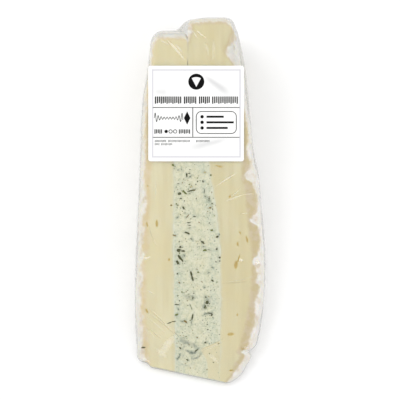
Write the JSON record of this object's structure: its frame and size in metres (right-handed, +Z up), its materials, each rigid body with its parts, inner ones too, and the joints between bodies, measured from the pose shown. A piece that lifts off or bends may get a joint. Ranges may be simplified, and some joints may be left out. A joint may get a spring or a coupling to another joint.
{
  "type": "wrapped wedge of filled brie",
  "caption": "Long thin wedge of soft white-rind cheese with a herb cream layer, in clear stretch film with a plain square label, lying on a cut face.",
  "frame": {"origin": "centre of the wrapped wedge's bounding box, on the surface that it lies on", "axes": "+Z up, off the lower cut face; +Y from the thin tip towards the rim; +X across the layers, to the right when the shown cut face is seen with the rim at the top"},
  "size_m": [0.066, 0.1834, 0.0454],
  "materials": {
    "brie_left": "moist soft cheese paste with a white bloomy rind",
    "brie_right": "moist soft cheese paste with a white bloomy rind",
    "herb_cream": "fine-grained cream cheese with dark green herb pieces",
    "label_paper": "smooth white coated paper, printed with plain shapes",
    "film": "clear glossy stretch film with wrinkles"
  },
  "bodies": {
    "root": {"brie_half_left": "brie_left", "brie_half_right": "brie_right", "herb_filling": "herb_cream", "label": "label_paper", "film_wrap": "film"}
  },
  "joints": []
}
